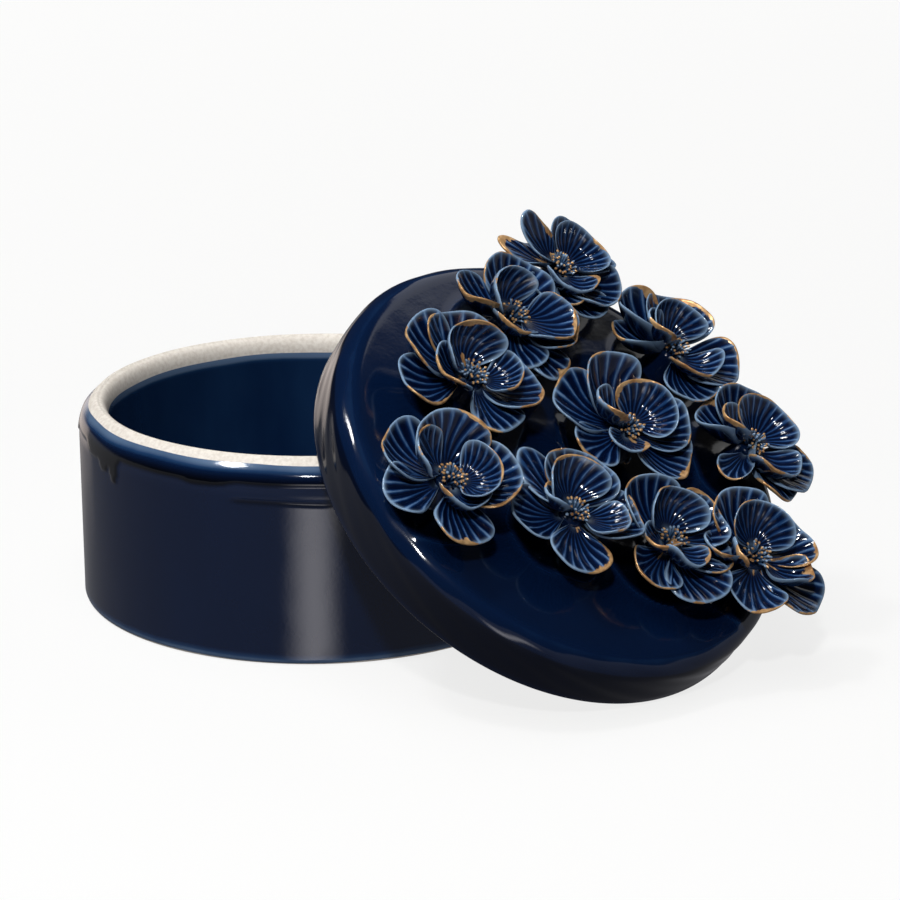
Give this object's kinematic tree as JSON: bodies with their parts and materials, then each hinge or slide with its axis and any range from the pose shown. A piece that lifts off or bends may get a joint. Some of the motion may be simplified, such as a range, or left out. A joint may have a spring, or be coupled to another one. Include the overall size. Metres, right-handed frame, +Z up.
{
  "type": "trinket box",
  "caption": "Round glazed ceramic trinket box with a lift-off lid that carries hand-built flowers, shown leaning on the open pot.",
  "frame": {"origin": "centre of the pot's flat underside, on the table", "axes": "+Z up; +X is the way the leaning lid lies from the pot; +Y across"},
  "size_m": [0.2096, 0.139, 0.1098],
  "materials": {
    "navy_glaze": "deep navy gloss glaze, thinner and lighter on edges, bare cream clay at the rim and foot",
    "petal_glaze": "navy glaze that breaks to pale steel blue on ribs and edges, gold lustre on the tips",
    "stamen_glaze": "pale blue glaze with gold lustre on the middle filaments"
  },
  "bodies": {
    "pot": {"pot": "navy_glaze"},
    "lid": {"lid": "navy_glaze", "flower_01_seat": "navy_glaze", "flower_01_outer_petals": "petal_glaze", "flower_01_inner_petals": "petal_glaze", "flower_01_stamens": "stamen_glaze", "flower_02_seat": "navy_glaze", "flower_02_outer_petals": "petal_glaze", "flower_02_inner_petals": "petal_glaze", "flower_02_stamens": "stamen_glaze", "flower_03_seat": "navy_glaze", "flower_03_outer_petals": "petal_glaze", "flower_03_inner_petals": "petal_glaze", "flower_03_stamens": "stamen_glaze", "flower_04_seat": "navy_glaze", "flower_04_outer_petals": "petal_glaze", "flower_04_inner_petals": "petal_glaze", "flower_04_stamens": "stamen_glaze", "flower_05_seat": "navy_glaze", "flower_05_outer_petals": "petal_glaze", "flower_05_inner_petals": "petal_glaze", "flower_05_stamens": "stamen_glaze", "flower_06_seat": "navy_glaze", "flower_06_outer_petals": "petal_glaze", "flower_06_inner_petals": "petal_glaze", "flower_06_stamens": "stamen_glaze", "flower_07_seat": "navy_glaze", "flower_07_outer_petals": "petal_glaze", "flower_07_inner_petals": "petal_glaze", "flower_07_stamens": "stamen_glaze", "flower_08_seat": "navy_glaze", "flower_08_outer_petals": "petal_glaze", "flower_08_inner_petals": "petal_glaze", "flower_08_stamens": "stamen_glaze", "flower_09_seat": "navy_glaze", "flower_09_outer_petals": "petal_glaze", "flower_09_inner_petals": "petal_glaze", "flower_09_stamens": "stamen_glaze", "flower_10_seat": "navy_glaze", "flower_10_outer_petals": "petal_glaze", "flower_10_inner_petals": "petal_glaze", "flower_10_stamens": "stamen_glaze"}
  },
  "joints": [
    {"name": "lid_lift", "type": "slide", "parent": "pot", "child": "lid", "axis": [0.6494, 0, 0.7604], "range_m": [0, 0.1]}
  ]
}
